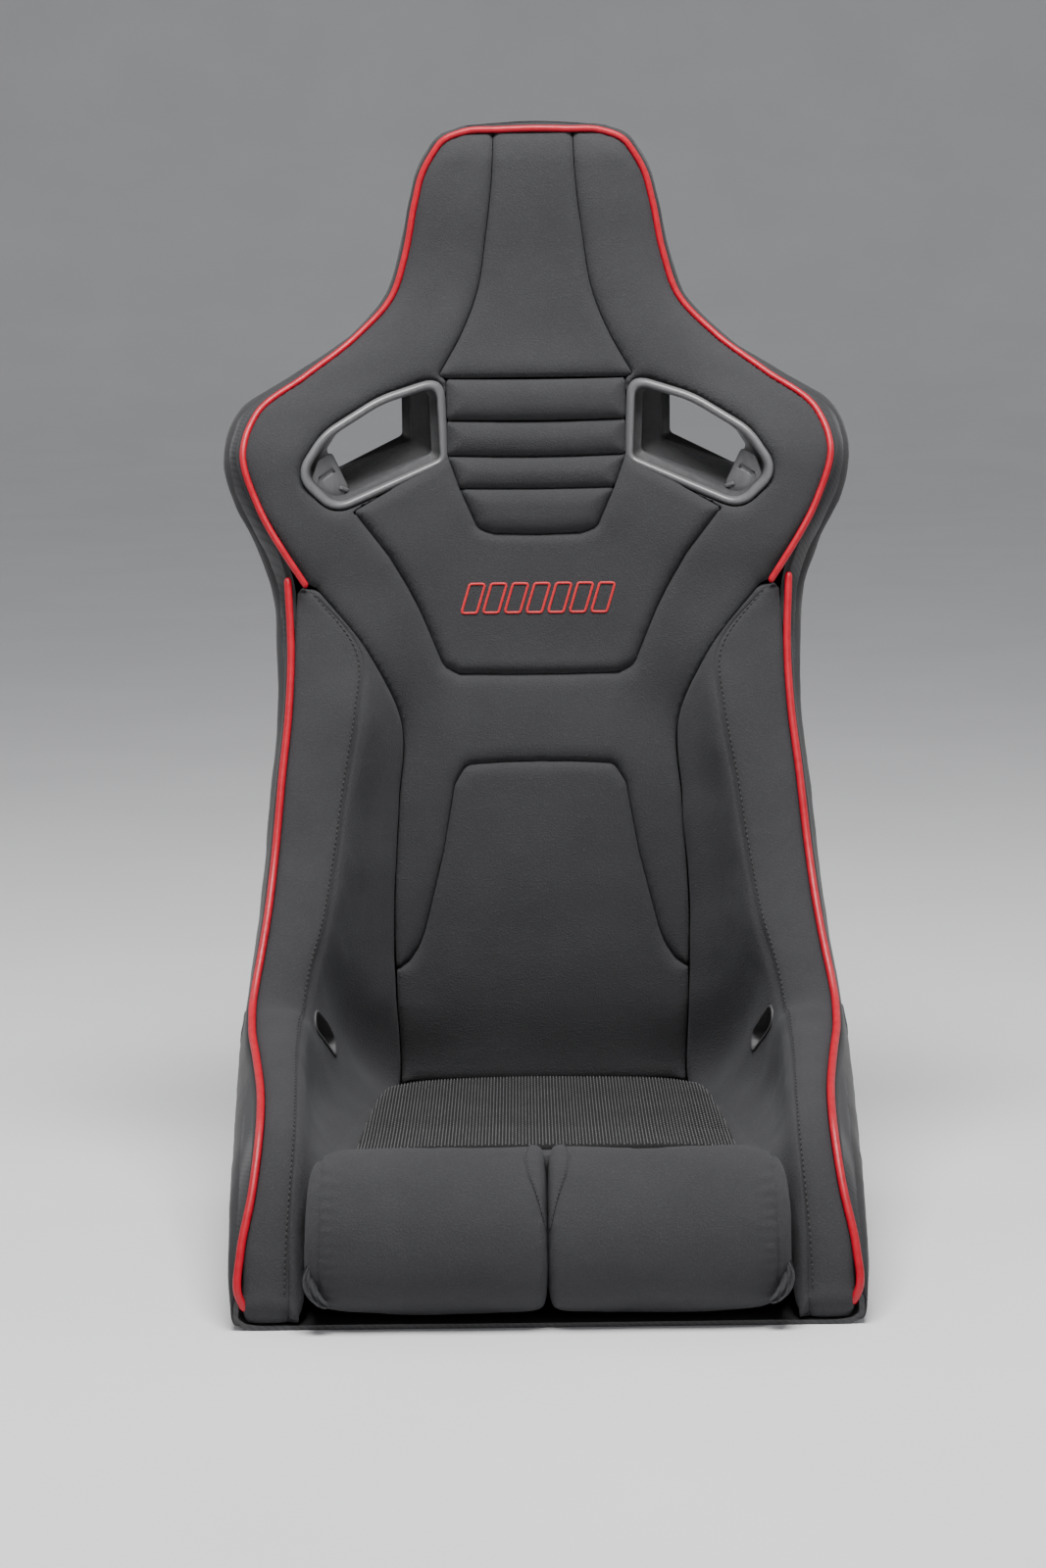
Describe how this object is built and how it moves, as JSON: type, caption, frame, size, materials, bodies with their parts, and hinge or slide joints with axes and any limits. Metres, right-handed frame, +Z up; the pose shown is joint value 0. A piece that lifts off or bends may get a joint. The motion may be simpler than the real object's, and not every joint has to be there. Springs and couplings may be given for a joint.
{
  "type": "racing seat",
  "caption": "Fixed-back bucket racing seat with deep side bolsters, shoulder-harness slots, threaded side mounts and a lift-out base cushion.",
  "frame": {"origin": "on the flat underside of the shell, on the seat's centre plane, midway between the front and rear side-mount holes", "axes": "+Z up, +X across the seat to the viewer's right when looking at its front, and the occupant faces -Y"},
  "size_m": [0.5628, 0.6203, 0.9645],
  "materials": {
    "shell_laminate": "satin",
    "seat_fabric": "matte",
    "piping_red": "satin",
    "bezel_plastic": "satin",
    "hardware_steel": "zinc plated",
    "hook_and_loop": "matte"
  },
  "bodies": {
    "seat_shell": {"back_surround_pad": "seat_fabric", "bezel_front_left": "bezel_plastic", "bezel_front_right": "bezel_plastic", "bezel_rear_left": "bezel_plastic", "bezel_rear_right": "bezel_plastic", "bezel_screws": "hardware_steel", "head_center_pad": "seat_fabric", "hook_strips": "hook_and_loop", "lumbar_pad": "seat_fabric", "mount_inserts_left": "hardware_steel", "mount_inserts_right": "hardware_steel", "mount_plate_left": "hardware_steel", "mount_plate_right": "hardware_steel", "piping_lower_left": "piping_red", "piping_lower_right": "piping_red", "piping_upper": "piping_red", "rib_pad_1": "seat_fabric", "rib_pad_2": "seat_fabric", "rib_pad_3": "seat_fabric", "rib_pad_4": "seat_fabric", "shell": "shell_laminate", "shoulder_pad_left": "seat_fabric", "shoulder_pad_right": "seat_fabric", "side_bolster_left": "seat_fabric", "side_bolster_right": "seat_fabric", "yoke_pad": "seat_fabric"},
    "base_cushion": {"front_roll_left": "seat_fabric", "front_roll_right": "seat_fabric", "loop_strips": "hook_and_loop", "seat_cushion": "seat_fabric"}
  },
  "joints": [
    {"name": "cushion_lift", "type": "slide", "parent": "seat_shell", "child": "base_cushion", "axis": [0, -0.7071, 0.7071], "range_m": [0, 0.3]}
  ]
}
